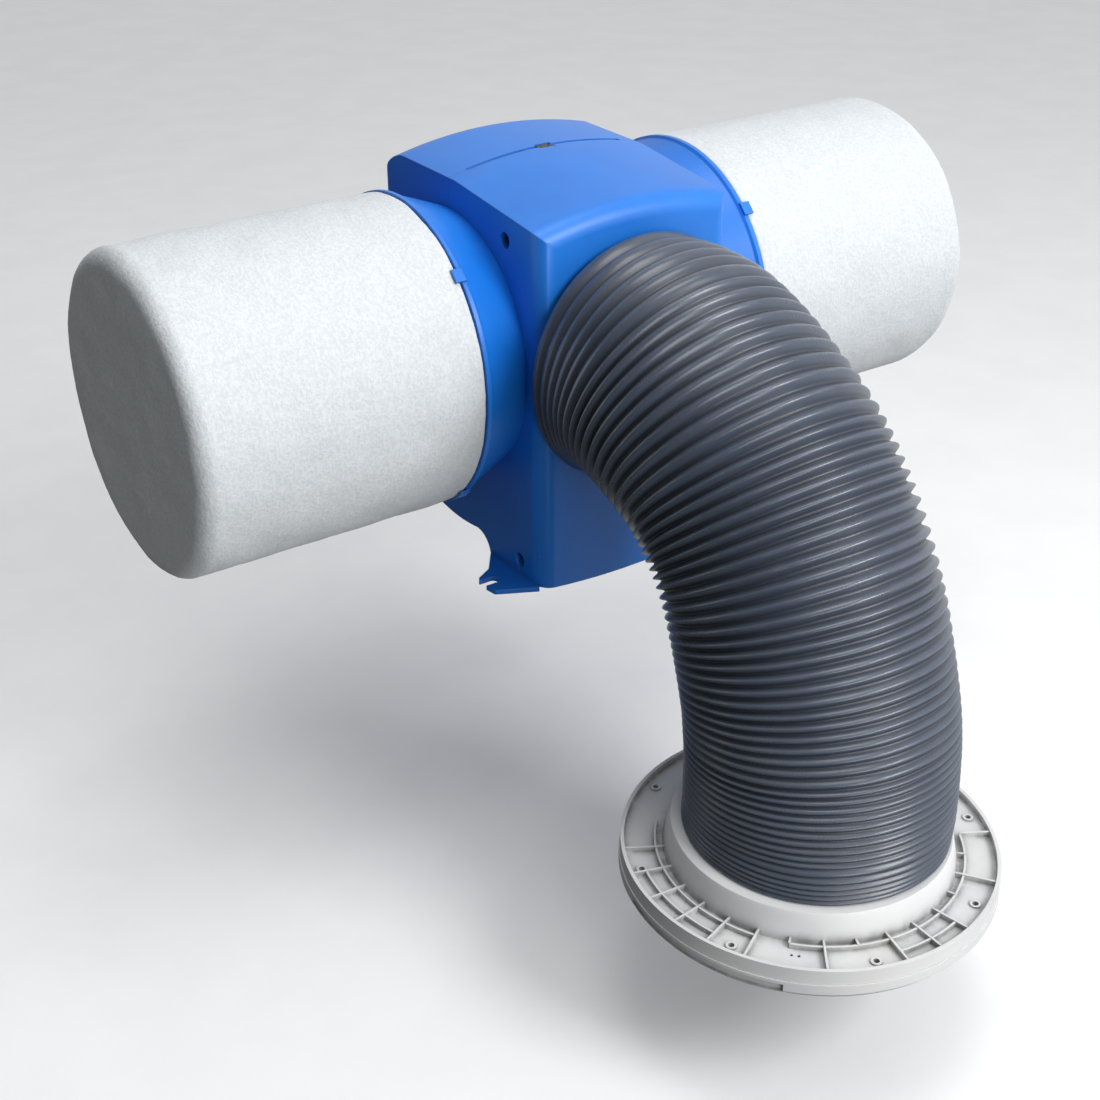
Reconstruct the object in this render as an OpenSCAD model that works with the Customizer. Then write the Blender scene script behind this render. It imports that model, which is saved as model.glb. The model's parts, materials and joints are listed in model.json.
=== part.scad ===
// Loft ventilation unit: a fan between two cylindrical filters, with a flexible duct to a ceiling diffuser.
// X runs along the two filters, the duct leaves the front towards -Y, Z is up.
// The origin is midway between the two fixing slots, on the underside of the fixing ears.

/* [Casing] */
// Width of the fan casing, side wall to side wall
casing_w = 200; // [180:1:240]
// Distance from the fan axis to the flat front face
front_reach = 140; // [132:1:170]
// Distance from the fan axis to the flat back face
back_reach = 120; // [116:1:150]
// Height of the casing's top edge above the fan axis, at the sides
top_reach = 147; // [140:1:170]
// Rise of the arched top from the sides to the middle
crown_rise = 12; // [6:1:20]
// Fall of the top towards the front face
front_fall = 12; // [4:1:16]
// Radius of the round belly about the fan axis
belly_r = 184; // [176:1:200]
// Height of the fan axis above the fixing ears
axis_height = 200; // [194:1:230]
// How far the bowed bottom hangs below its side edges
bottom_bow = 7; // [3:1:10]
// Wall of the casing shells
casing_wall = 3; // [2:0.5:4]
// Radius along the front top edge
front_edge_r = 18; // [10:1:24]
// Radius along the back top edge
back_edge_r = 45; // [30:1:50]
// Radius of the upright corners
corner_r = 16; // [8:1:20]
// Depth, front to back, of the foot column under the front
column_depth = 83; // [70:1:90]

/* [Fixing ears] */
// Reach of an ear beyond the casing's side
ear_reach = 38; // [30:1:50]
// Thickness of an ear
ear_thick = 4.5; // [3:0.5:8]
// Width of the open fixing slot
slot_w = 11; // [6:1:14]
// Length of the open fixing slot
slot_depth = 16; // [8:1:20]
// Distance from the fixing slots back to the fan axis
slot_to_axis = 103; // [95:1:110]

/* [Filters] */
// Outside radius of a filter sleeve
filter_r = 139.5; // [130:0.5:150]
// Length of a filter sleeve outside its collar
filter_len = 257; // [200:1:320]
// Thickness of the filter wadding
wadding = 22; // [12:1:30]
// Radius around the closed end of a filter
filter_edge_r = 16; // [8:1:20]
// Length of a collar, from the casing's side to its lip
collar_len = 52; // [40:1:70]
// Radius of a collar where it meets the casing
collar_root_r = 120; // [116:1:124]
// Radius of the air hole in each side of the casing
inlet_hole_r = 104; // [102:1:107]
// Width of one clip on the collar's lip
clip_w = 12; // [8:1:20]

/* [Fan] */
// Radius of the impeller
impeller_r = 85; // [78:1:86]
// Width of the impeller
impeller_w = 120; // [100:2:124]
// Radial depth of a blade
blade_depth = 15; // [12:1:18]
// Number of blades in each of the two rows
blade_count = 32; // [24:1:40]
// Width of the fan scroll
scroll_w = 150; // [144:2:160]
// Wall of the fan scroll
scroll_wall = 2.5; // [2:0.5:3]
// Largest inside radius of the scroll
scroll_r = 118; // [114:1:120]
// Radius of the motor's rotor cup
rotor_r = 42; // [36:1:46]
// Radius of the motor shaft
shaft_r = 4; // [3:0.5:5]

/* [Duct] */
// Outside radius of the flexible duct, over its ridges
duct_r = 110; // [108:1:114]
// Depth of one ridge of the duct
ridge_depth = 6; // [4:0.5:6]
// Number of ridges along the duct
ridge_count = 56; // [30:1:60]
// Wall between the duct's bore and the bottom of its grooves
duct_wall = 3; // [2:0.5:3]
// Height of the duct's centre above the fan axis, at the casing
outlet_rise = 8; // [0:1:12]
// Length of each spigot inside the duct
spigot_len = 12; // [10:1:16]

/* [Diffuser] */
// Outside radius of the ribbed flange
flange_r = 152; // [148:1:165]
// Outside radius of the room-side trim ring
trim_r = 153; // [150:1:170]
// Height of the ribbed flange
flange_h = 13; // [12:1:18]
// Height of the trim ring
trim_h = 13; // [10:1:20]
// Height of the sloping shoulder under the duct
shoulder_h = 20; // [16:1:30]
// Height of the stiffening ribs
rib_h = 4.5; // [3:0.5:6]
// Radius of the circle through the ceiling screw holes
screw_circle_r = 140; // [136:0.5:141]
// Radius of one ceiling screw hole
screw_hole_r = 2.4; // [2:0.1:3]
// Number of ceiling screw holes
screw_count = 8; // [4:1:8]
// Radius of the room-side disc
disc_r = 134; // [120:1:135]
// Travel of the room-side disc on its mounting pegs
disc_travel = 10; // [6:1:14]

/* [Fits] */
// Radial clearance of pieces that slide in one another
slide_gap = 0.5; // [0.4:0.1:0.8]
// Radial clearance of the shaft in its bearings
bearing_gap = 0.05; // [0.02:0.01:0.1]
// Radial play of the duct's bore on its spigots, which it needs to bend away from them
spigot_play = 5.5; // [4.5:0.5:7]
// Clearance between pieces that are fastened together
seat_gap = 0.2; // [0.1:0.05:0.3]

/* [Hidden] */

blue = [0.16, 0.42, 0.86];
white = [0.88, 0.89, 0.90];
wadding_white = [0.90, 0.92, 0.93];
duct_grey = [0.25, 0.28, 0.33];
black = [0.10, 0.10, 0.11];
steel = [0.70, 0.71, 0.72];
copper = [0.72, 0.42, 0.20];
green = [0.10, 0.40, 0.22];
grey = [0.45, 0.47, 0.49];

half_w = casing_w / 2;
fine = 96;
small = 32;
more = 1;
far = 1000;

// Crown: the arched top is a slice of a shallow cone about an axis far below the fan
crown_r = (half_w * half_w + crown_rise * crown_rise) / (2 * crown_rise);
crown_z = top_reach + crown_rise - crown_r;
fall_start = -10;
fall_angle = atan(front_fall / (front_reach - front_edge_r + fall_start));
// Bottom: a shallow cylinder, lowest in the middle
bow_r = (half_w * half_w + bottom_bow * bottom_bow) / (2 * bottom_bow);
bottom_z = -axis_height + 2;
column_y = -front_reach + column_depth;
column_fillet = 22;
fillet_y = column_y + column_fillet;
fillet_z = -sqrt(pow(belly_r + column_fillet, 2) - fillet_y * fillet_y);

// Cross bars and the sunken screws that hold them: [y, z] from the fan axis
bar_places = [[-front_reach + 52, top_reach - 31], [-front_reach + 34, -axis_height + 18],
              [back_reach - 27, top_reach - 45]];
bar_r = 7;
bar_bore_r = 2.1;
bar_bore_depth = 15;
sunk_r = 7;
sunk_depth = 8;
sunk_wall = 2.5;
screw_r = 2;
head_r = 4.4;
head_h = 2.4;

// Seam across the top
seam_gap = 0.4;
seam_half = half_w - 18;
seam_groove = 1.9;
seam_groove_half = 2.6;
clip_notch_w = 16;
clip_notch_l = 12;
clip_notch_depth = 2.2;

// Collars
lip_w = 4;
lip_r = filter_r + 1;
lip_x = half_w + collar_len;
collar_wall = 3;
collar_tube_len = 8;
plug_r = filter_r - 5.5;
plug_len = 9;
clip_angles = [46, -45, 134, 225];
clip_reach = 6;
clip_thick = 2.4;
collar_screw_count = 6;
collar_screw_r = (inlet_hole_r + collar_root_r) / 2;

// Filters
filter_x = lip_x + 0.6;
cage_gap = 0.8;
cage_r = filter_r - wadding - cage_gap;
cage_rod_r = 3;
cage_rods = 8;
cage_hoops = 3;
cage_len = filter_len - wadding - 2;

// Fan
scroll_half = scroll_w / 2;
side_plate = 3;
cutoff_angle = 140;
sweep_angle = cutoff_angle + 90;
cutoff_r = impeller_r + 7;
mouth_y = -front_reach + 28;
mouth_top = 92;
spiral_steps = 46;
inlet_throat_r = impeller_r - blade_depth - 3;
scroll_eye_r = inlet_throat_r + 9;
cone_flange_r = scroll_eye_r + 14;
cone_lip_r = inlet_hole_r - 6;
cone_lip_x = half_w - 9;
scroll_screw_count = 6;
hub_disc = 3;
end_ring = 3;
rotor_wall = 3;
rotor_back = -30;
rotor_front = 22;
magnet = 2;
air_gap = 1;
stator_r = rotor_r - rotor_wall - magnet - air_gap;
bearing_r = 11;
bearing_w = 7;
bearing_places = [-20, 9];
stator_tube_r = 15;
stator_flange_x = 27;
stator_flange_t = 5;
post_circle_r = 30;
post_r = 4;
bracket_x = cone_lip_x + 3.4;
bracket_t = 4;
rubber_r = 6;
rotor_flange_r = rotor_r + 10;

// Outlet
duct_bore_r = duct_r - ridge_depth - duct_wall;
spigot_r = duct_bore_r - spigot_play;
spigot_wall = 2.5;
// The hole stays on the flat of the front face and inside the duct, so the spigot steps outwards in front of it
outlet_r = min(half_w - corner_r - 2, spigot_r - 12);
spigot_screw_count = 4;
spigot_screw_ring = (outlet_r + spigot_r) / 2;
spigot_screw_r = screw_r * 0.8;

// Controls
tray_z = -axis_height + 36;
tray_w = casing_w - 44;
tray_d = column_depth - 16;
tray_t = 3;
tray_y = -front_reach + casing_wall + 3;
board_z = tray_z + tray_t + 4;
board_t = 1.6;
ledge_t = 4;

// Cable gland
gland_x = -half_w * 0.55;
gland_z = -70;
gland_bore_r = 4.5;
gland_r = 8;
gland_hex_r = 12;

// Duct route from the casing to the diffuser, measured from the middle of the front face
duct_points = [
    [0, 0, 0], [-11, -49, 11], [-25, -96, 18], [-25, -143, 0], [-18, -186, -34], [-15, -221, -76],
    [-18, -250, -118], [-24, -275, -162], [-31, -296, -208], [-45, -312, -256], [-54, -317, -278]
];
duct_start = [0, -1, 0];
duct_finish = [0, 0, -1];
last_point = len(duct_points) - 1;
// How far along its ridges the duct is at each of those points: they are closest where it is pressed together
ridge_shares = [0, 3, 6, 11, 16, 22, 27, 33, 40, 50, 56] / 56;
// How early the duct's rings turn from upright at the casing to level at the diffuser
turn_power = 1.32;
duct_sides = 24;
bore_rings = 24;
duct_base = [0, -front_reach, outlet_rise];
duct_foot = duct_base + duct_points[last_point];

// Diffuser: heights are measured down from the foot of the duct
plate_t = 2.5;
rim_w = 3;
rim_z = -shoulder_h;
floor_z = rim_z - rib_h - 1;
shoulder_r = duct_r + 8;
shoulder_top_r = duct_r + 2;
rib_t = 1.8;
rib_pitch = 12;
rib_phase = 5.5;
arc_r = 124;
outer_arc_r = 138;
screw_phase = 159;
disc_t = 4;
trim_z = rim_z - flange_h;
trim_wall = 8;
disc_z = trim_z - trim_h - 1;
plate_z = floor_z - plate_t;
socket_h = disc_travel + 2;
peg_circle_r = 112;
peg_count = 4;
peg_r = 4;
socket_r = 8;

// ---------- helpers ----------

// Places children in the fan's frame, whose X axis is the fan axis
module fan() translate([0, slot_to_axis, axis_height]) children();

// Extrudes a [y, z] outline along X
module along_x(x, length) translate([x, 0, 0]) rotate([90, 0, 90]) linear_extrude(length) children();

// Turns a [radius, x] outline about the X axis
module round_x() rotate([0, 90, 0]) rotate_extrude($fn = fine) children();

// A cylinder along X
module rod_x(x, length, r, sides = small) translate([x, 0, 0]) rotate([0, 90, 0])
    cylinder(h = length, r = r, $fn = sides);

// Puts a right-hand piece on the left, or leaves it on the right
module on_side(side) mirror([side < 0 ? 1 : 0, 0, 0]) children();

// Count copies round the X axis, on a circle of radius r
module ring_x(count, r, phase = 0) for (i = [0 : count - 1]) rotate([phase + i * 360 / count, 0, 0])
    translate([0, r, 0]) children();

// Count copies round the Z axis, on a circle of radius r
module ring_z(count, r, phase = 0) for (i = [0 : count - 1]) rotate([0, 0, phase + i * 360 / count])
    translate([r, 0, 0]) children();

// A pan-head screw along +X whose head's underside is at x = 0
module screw_x(length, r = screw_r, head = head_r) {
    rod_x(-head_h, head_h, head);
    rod_x(-more / 10, length + more / 10, r, 20);
}

// ---------- casing ----------

// Outline, [radius about the crown's axis, y], of the top with its front and back roundings
module crown_outline(inset) {
    r = crown_r - inset;
    front = -front_reach + inset;
    back = back_reach - inset;
    edge = front_edge_r - inset;
    rear = back_edge_r - inset;
    edge_y = front + edge;
    edge_z = r + (edge_y - fall_start) * tan(fall_angle) - edge / cos(fall_angle);
    polygon([
        [0, front], [edge_z, front], [edge_z + edge * cos(fall_angle), edge_y - edge * sin(fall_angle)],
        [r, fall_start], [r, back - rear], [r - rear, back], [0, back]
    ]);
    translate([edge_z, edge_y]) circle(edge, $fn = fine);
    translate([r - rear, back - rear]) circle(rear, $fn = fine);
}

// Plan outline with rounded upright corners
module plan_outline(inset) {
    w = half_w - inset;
    front = -front_reach + inset;
    back = back_reach - inset;
    r = corner_r - inset;
    translate([-w + r, front]) square([2 * (w - r), back - front]);
    translate([-w, front + r]) square([2 * w, back - front - 2 * r]);
    for (x = [-w + r, w - r], y = [front + r, back - r]) translate([x, y]) circle(r, $fn = fine);
}

// Side outline: block above the axis, round belly, foot column and the hollow between them
module side_outline(inset) {
    front = -front_reach + inset;
    circle(belly_r - inset, $fn = fine);
    translate([-far / 2, 0]) square([far, far / 2]);
    translate([front, -far / 4]) square([column_depth - 2 * inset, far / 4]);
    difference() {
        translate([column_y - inset - more, fillet_z])
            square([column_fillet + inset + more, -fillet_z - belly_r * 0.7]);
        translate([fillet_y, fillet_z]) circle(column_fillet + inset, $fn = fine);
        translate([fillet_y, fillet_z]) square([column_fillet * 2, column_fillet * 2]);
    }
}

// The casing as a solid, drawn in by inset on every side
module casing_solid(inset) {
    intersection() {
        translate([0, 0, crown_z]) rotate([-90, 0, 0]) rotate_extrude($fn = fine) crown_outline(inset);
        translate([0, 0, -far / 2]) linear_extrude(far) plan_outline(inset);
        along_x(-half_w - more, casing_w + 2 * more) side_outline(inset);
        translate([0, far / 2, bottom_z - bottom_bow + bow_r]) rotate([90, 0, 0])
            cylinder(h = far, r = bow_r - inset, $fn = 2 * fine);
    }
}

// The cup in each side wall that holds a sunken screw
module screw_cup(place) translate([0, place[0], place[1]]) for (side = [-1, 1]) on_side(side)
    rod_x(half_w - sunk_depth - sunk_wall, sunk_depth + sunk_wall - more, sunk_r + sunk_wall);

module screw_cup_hole(place) translate([0, place[0], place[1]]) for (side = [-1, 1]) on_side(side) {
    rod_x(half_w - sunk_depth, sunk_depth + more, sunk_r);
    rod_x(half_w - far / 20, far / 20, screw_r + seat_gap);
}

// The shell with its air holes, between two planes of y
module casing_shell(y_low, y_high, places) {
    difference() {
        intersection() {
            union() {
                difference() {
                    casing_solid(0);
                    casing_solid(casing_wall);
                }
                for (place = places) screw_cup(place);
            }
            translate([-far / 2, y_low, -far / 2]) cube([far, y_high - y_low, far]);
        }
        for (place = places) screw_cup_hole(place);
        rod_x(-half_w - more, casing_w + 2 * more, inlet_hole_r, fine);
        for (side = [-1, 1]) on_side(side) ring_x(collar_screw_count, collar_screw_r, 30)
            rod_x(half_w - 5, 5 + more, screw_r + seat_gap, 20);
    }
}

// One fixing ear with its open slot, on the right
module ear() {
    root = half_w - casing_wall;
    tip = half_w + ear_reach;
    slot_y = -slot_to_axis;
    translate([0, 0, -axis_height]) linear_extrude(ear_thick) difference() {
        polygon([
            [root, -front_reach + casing_wall + corner_r], [half_w, slot_y - 35], [tip - 2, slot_y - 17],
            [tip, slot_y - 6], [tip, slot_y + 7], [tip - 2, slot_y + 10], [half_w + 20, slot_y + 19],
            [half_w + 6, slot_y + 38], [half_w, column_y], [root, column_y]
        ]);
        translate([tip - slot_depth + slot_w / 2, slot_y - slot_w / 2]) square([slot_depth, slot_w]);
        translate([tip - slot_depth + slot_w / 2, slot_y]) circle(slot_w / 2, $fn = small);
    }
}

// Groove along the top seam, and the wider notch that holds the seam clip
module seam_cut() {
    translate([0, 0, crown_z]) difference() {
        intersection() {
            rotate([90, 0, 0]) cylinder(h = 2 * seam_groove_half, r = crown_r + more, center = true, $fn = 2 * fine);
            translate([-seam_half, -far / 2, 0]) cube([2 * seam_half, far, far]);
        }
        rotate([90, 0, 0]) cylinder(h = far, r = crown_r - seam_groove, center = true, $fn = 2 * fine);
    }
    translate([-clip_notch_w / 2, -clip_notch_l / 2, crown_z + crown_r - clip_notch_depth])
        cube([clip_notch_w, clip_notch_l, far / 50]);
}

module front_casing() color(blue) fan() {
    difference() {
        union() {
            casing_shell(-front_reach - more, -seam_gap / 2, [bar_places[0], bar_places[1]]);
            for (side = [-1, 1]) on_side(side) {
                ear();
                translate([half_w - casing_wall - 8, tray_y, tray_z - ledge_t - seat_gap])
                    cube([8 + more, tray_d, ledge_t]);
            }
        }
        seam_cut();
        outlet_place() translate([0, 0, -10]) {
            cylinder(h = 10 + more, r = outlet_r + seat_gap, $fn = fine);
            ring_z(spigot_screw_count, spigot_screw_ring, 45)
                cylinder(h = 10 + more, r = spigot_screw_r + seat_gap, $fn = 20);
        }
        for (side = [-1, 1]) on_side(side) translate([half_w - casing_wall - 4, tray_y + tray_d / 2, tray_z - 10])
            cylinder(h = 12, r = screw_r * 0.8 + seat_gap, $fn = 20);
    }
}

module rear_casing() color(blue) fan() difference() {
    casing_shell(seam_gap / 2, back_reach + more, [bar_places[2]]);
    seam_cut();
    translate([gland_x, back_reach - 10, gland_z]) rotate([-90, 0, 0])
        cylinder(h = 20, r = gland_r + seat_gap, $fn = small);
}

// A small spring clip in the notch, with two tongues that grip the seam
module seam_clip() color(black) fan() translate([0, 0, crown_z + crown_r - clip_notch_depth + seat_gap])
    difference() {
        translate([-clip_notch_w / 2 + 1, -clip_notch_l / 2 + 1, 0]) cube([clip_notch_w - 2, clip_notch_l - 2, 1.2]);
        for (side = [-1, 1]) translate([side * clip_notch_w / 4 - 1, -0.8, -more]) cube([2, 1.6, 4]);
    }

module cross_bars() color(steel) fan() for (place = bar_places) translate([0, place[0], place[1]]) difference() {
    length = 2 * (half_w - sunk_depth - sunk_wall - seat_gap);
    rod_x(-length / 2, length, bar_r);
    for (side = [-1, 1]) on_side(side) rod_x(length / 2 - bar_bore_depth, bar_bore_depth + more, bar_bore_r, 20);
}

module casing_screws() color(black) fan() for (place = bar_places, side = [-1, 1])
    translate([0, place[0], place[1]]) on_side(side) translate([half_w - sunk_depth, 0, 0]) mirror([1, 0, 0])
        difference() {
            screw_x(sunk_wall + bar_bore_depth - 3);
            translate([-head_h - more, -0.6, -2.6]) cube([1.2 + more, 1.2, 5.2]);
            translate([-head_h - more, -2.6, -0.6]) cube([1.2 + more, 5.2, 1.2]);
        }

// ---------- collars and filters ----------

// A right-hand collar: base ring, flared wall, lip and four clips over the filter's end
module collar() {
    bore_start = lip_x - plug_len - more;
    difference() {
        round_x() polygon([
            [inlet_hole_r - collar_wall, half_w - collar_tube_len], [inlet_hole_r - seat_gap, half_w - collar_tube_len],
            [inlet_hole_r - seat_gap, half_w], [collar_root_r, half_w],
            [lip_r - 2.5, lip_x - lip_w - 2], [lip_r, lip_x - lip_w], [lip_r, lip_x],
            [plug_r + slide_gap, lip_x], [plug_r + slide_gap, bore_start],
            [plug_r - 1, bore_start], [collar_root_r - 2, half_w + collar_wall],
            [inlet_hole_r - collar_wall, half_w + collar_wall]
        ]);
        ring_x(collar_screw_count, collar_screw_r, 30)
            rod_x(half_w - more, collar_wall + 2 * more, screw_r + seat_gap, 20);
    }
    for (angle = clip_angles) rotate([angle, 0, 0]) translate([lip_x - lip_w, -filter_r - slide_gap - clip_thick, 0])
        translate([0, 0, -clip_w / 2]) cube([lip_w + clip_reach, clip_thick, clip_w]);
}

// Right-hand filter sleeve: thick wadding, open at the collar and closed at the outer end
module filter_sleeve() {
    end = filter_x + filter_len;
    inner = filter_r - wadding;
    round_x() {
        polygon([
            [inner, filter_x], [filter_r, filter_x], [filter_r, end - filter_edge_r],
            [filter_r - filter_edge_r, end], [0, end], [0, end - wadding], [inner, end - wadding]
        ]);
        translate([filter_r - filter_edge_r, end - filter_edge_r]) intersection() {
            circle(filter_edge_r, $fn = fine);
            square(filter_edge_r);
        }
    }
}

// Right-hand cage that keeps a sleeve in shape and plugs into the collar
module filter_cage() {
    round_x() polygon([
        [plug_r - 3, lip_x - plug_len], [plug_r, lip_x - plug_len], [plug_r, lip_x + 0.3],
        [cage_r - 8, lip_x + 0.3], [cage_r - 8, lip_x - 2], [plug_r - 3, lip_x - 2]
    ]);
    ring_x(cage_rods, cage_r - cage_rod_r, 22.5) rod_x(lip_x - more, cage_len, cage_rod_r, 20);
    for (i = [1 : cage_hoops]) round_x() translate([cage_r - 5, lip_x + i * cage_len / cage_hoops - 4])
        square([4, 4]);
    translate([lip_x + cage_len - 3.5, 0, 0]) for (angle = [0, 90]) rotate([angle, 0, 0])
        translate([0, -cage_r + cage_rod_r, -4]) cube([3, 2 * (cage_r - cage_rod_r), 8]);
}

module left_collar() color(blue) fan() on_side(-1) collar();
module right_collar() color(blue) fan() on_side(1) collar();
module left_filter_sleeve() color(wadding_white) fan() on_side(-1) filter_sleeve();
module right_filter_sleeve() color(wadding_white) fan() on_side(1) filter_sleeve();
module left_filter_cage() color(grey) fan() on_side(-1) filter_cage();
module right_filter_cage() color(grey) fan() on_side(1) filter_cage();

module collar_screws() color(steel) fan() for (side = [-1, 1]) on_side(side)
    ring_x(collar_screw_count, collar_screw_r, 30) translate([half_w + collar_wall, 0, 0]) mirror([1, 0, 0]) screw_x(9);

// ---------- fan ----------

// Radius of the scroll's inside wall at step i of its spiral
function spiral_r(i) = cutoff_r + (scroll_r - cutoff_r) * i / spiral_steps;
function spiral_angle(i) = cutoff_angle - sweep_angle * i / spiral_steps;

// Scroll outline grown by t: the spiral, then the mouth towards the front
function scroll_points(t, mouth) = concat(
    [for (i = [0 : spiral_steps]) (spiral_r(i) + t) * [cos(spiral_angle(i)), sin(spiral_angle(i))]],
    [[mouth, -scroll_r - t], [mouth, mouth_top + t]]
);

// Right-hand half of the scroll: half its wall and its side plate with the fan's eye
module scroll_shell() difference() {
    union() {
        along_x(seat_gap / 2, scroll_half - side_plate - seat_gap / 2) difference() {
            polygon(scroll_points(scroll_wall, mouth_y));
            polygon(scroll_points(0, mouth_y - more));
        }
        along_x(scroll_half - side_plate, side_plate) polygon(scroll_points(scroll_wall, mouth_y));
    }
    rod_x(0, scroll_w, scroll_eye_r, fine);
    ring_x(scroll_screw_count, scroll_eye_r + 7) rod_x(scroll_half - side_plate - more, 10, screw_r + seat_gap, 20);
}

// Right-hand inlet cone: bell mouth, a flange on the scroll and a lip at the casing's side
module inlet_cone() {
    flange_x = scroll_half + seat_gap;
    bell_r = cone_lip_r - 10 - inlet_throat_r;
    bell_x = cone_lip_x - (scroll_half - 9);
    difference() {
        round_x() {
            polygon(concat(
                [for (i = [0 : 8]) [inlet_throat_r + bell_r * (1 - cos(i * 90 / 8)),
                                    scroll_half - 9 + bell_x * sin(i * 90 / 8)]],
                [[cone_lip_r, cone_lip_x], [cone_lip_r, cone_lip_x - 2]],
                [for (i = [8 : -1 : 0]) [inlet_throat_r + 2 + bell_r * (1 - cos(i * 90 / 8)),
                                         scroll_half - 9 + (bell_x - 2) * sin(i * 90 / 8)]]
            ));
            translate([inlet_throat_r + 3, flange_x]) square([cone_flange_r - inlet_throat_r - 3, 2]);
        }
        ring_x(scroll_screw_count, scroll_eye_r + 7) rod_x(scroll_half - more, 10, screw_r + seat_gap, 20);
    }
}

module left_scroll_shell() color(grey) fan() on_side(-1) scroll_shell();
module right_scroll_shell() color(grey) fan() on_side(1) scroll_shell();
module left_inlet_cone() color(grey) fan() on_side(-1) inlet_cone();
module right_inlet_cone() color(grey) fan() on_side(1) inlet_cone();

module scroll_screws() color(steel) fan() for (side = [-1, 1]) on_side(side)
    ring_x(scroll_screw_count, scroll_eye_r + 7) translate([scroll_half + seat_gap + 2, 0, 0]) mirror([1, 0, 0])
        screw_x(8);

// One forward-curved blade outline in the plane of the fan
module blade() {
    depth = blade_depth - 1;
    inner = impeller_r - depth - 0.5;
    steps = 5;
    lean = 18;
    polygon(concat(
        [for (i = [0 : steps]) (inner + depth * i / steps)
            * [cos(lean * pow(i / steps, 2)), sin(lean * pow(i / steps, 2))]],
        [for (i = [steps : -1 : 0]) (inner + depth * i / steps)
            * [cos(lean * pow(i / steps, 2) + 1.2), sin(lean * pow(i / steps, 2) + 1.2)]]
    ));
}

module impeller() color(black) fan() {
    half = impeller_w / 2;
    difference() {
        rod_x(-hub_disc / 2, hub_disc, impeller_r, fine);
        rod_x(-hub_disc, 2 * hub_disc, rotor_r + seat_gap, fine);
        ring_x(6, rotor_r + 6) rod_x(-hub_disc, 2 * hub_disc, screw_r + seat_gap, 20);
    }
    along_x(-half + more, impeller_w - 2 * more) for (i = [0 : blade_count - 1]) rotate(i * 360 / blade_count) blade();
    for (side = [-1, 1]) on_side(side) round_x()
        translate([impeller_r - blade_depth, half - end_ring]) square([blade_depth, end_ring]);
}

module motor_rotor() color(steel) fan() {
    round_x() polygon([
        [shaft_r, rotor_back], [rotor_r, rotor_back], [rotor_r, hub_disc / 2 + seat_gap],
        [rotor_flange_r, hub_disc / 2 + seat_gap], [rotor_flange_r, hub_disc / 2 + seat_gap + 3],
        [rotor_r, hub_disc / 2 + seat_gap + 3], [rotor_r, rotor_front],
        [rotor_r - rotor_wall, rotor_front], [rotor_r - rotor_wall, rotor_back + rotor_wall],
        [shaft_r + 5, rotor_back + rotor_wall], [shaft_r + 5, rotor_back + 7], [shaft_r, rotor_back + 7]
    ]);
}

module rotor_magnets() color(black) fan() difference() {
    rod_x(-20, 38, rotor_r - rotor_wall, fine);
    rod_x(-21, 40, rotor_r - rotor_wall - magnet, fine);
}

module motor_shaft() color(steel) fan() rod_x(rotor_back, stator_flange_x + 6 - rotor_back, shaft_r, small);

module impeller_screws() color(steel) fan() ring_x(6, rotor_r + 6) translate([-hub_disc / 2, 0, 0])
    screw_x(hub_disc + seat_gap, screw_r, 3.6);

module motor_bearings() color(steel) fan() for (x = bearing_places) difference() {
    rod_x(x, bearing_w, bearing_r - seat_gap / 2, fine);
    rod_x(x - more, bearing_w + 2 * more, shaft_r + bearing_gap, fine);
}

module motor_stator() color(grey) fan() difference() {
    union() {
        rod_x(bearing_places[0], stator_flange_x - bearing_places[0] + more, stator_tube_r, fine);
        along_x(-16, 30) intersection() {
            circle(stator_r, $fn = fine);
            union() {
                circle(stator_r - 8, $fn = fine);
                for (i = [0 : 8]) rotate(40 * i) translate([0, -3]) square([far, 6]);
            }
        }
        rod_x(stator_flange_x, stator_flange_t, post_circle_r + 8, fine);
    }
    rod_x(bearing_places[0] - more, far / 10, bearing_r, fine);
    ring_x(3, post_circle_r, 30) rod_x(stator_flange_x - more, 10, screw_r + seat_gap, 20);
}

module stator_windings() color(copper) fan() for (side = [-1, 1]) round_x()
    translate([stator_tube_r + 1, side > 0 ? 14 + seat_gap : -19 - seat_gap]) square([stator_r - stator_tube_r - 3, 3]);

module motor_bracket() color(steel) fan() {
    hub_x = stator_flange_x + stator_flange_t + seat_gap;
    difference() {
        union() {
            rod_x(hub_x, 3, post_circle_r + 8, fine);
            ring_x(3, post_circle_r, 90) rod_x(hub_x + more, bracket_x + bracket_t - hub_x - more, post_r);
            for (i = [0 : 2]) rotate([90 + i * 120, 0, 0]) translate([bracket_x, post_circle_r - 12, -5])
                cube([bracket_t, cone_lip_r - 1 - post_circle_r + 12, 10]);
        }
        rod_x(hub_x - more, 10, 16, fine);
        ring_x(3, post_circle_r, 30) rod_x(hub_x - more, 10, screw_r + seat_gap, 20);
        ring_x(3, cone_lip_r - 6, 90) rod_x(bracket_x - more, 10, screw_r + seat_gap, 20);
    }
}

module rubber_mounts() color(black) fan() ring_x(3, cone_lip_r - 6, 90) difference() {
    rod_x(cone_lip_x + seat_gap, bracket_x - cone_lip_x - 2 * seat_gap, rubber_r - 1.5);
    rod_x(cone_lip_x - more, 10, screw_r + seat_gap, 20);
}

module bracket_screws() color(steel) fan() {
    ring_x(3, cone_lip_r - 6, 90) translate([bracket_x + bracket_t, 0, 0]) mirror([1, 0, 0])
        screw_x(bracket_t + bracket_x - cone_lip_x - seat_gap);
    ring_x(3, post_circle_r, 30) translate([stator_flange_x + stator_flange_t + seat_gap + 3, 0, 0]) mirror([1, 0, 0])
        screw_x(3 + stator_flange_t);
}

// ---------- outlet ----------

// Axis of the outlet: +Z is outwards from the front face
module outlet_place() translate([0, -front_reach, outlet_rise]) rotate([90, 0, 0]) children();

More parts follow.
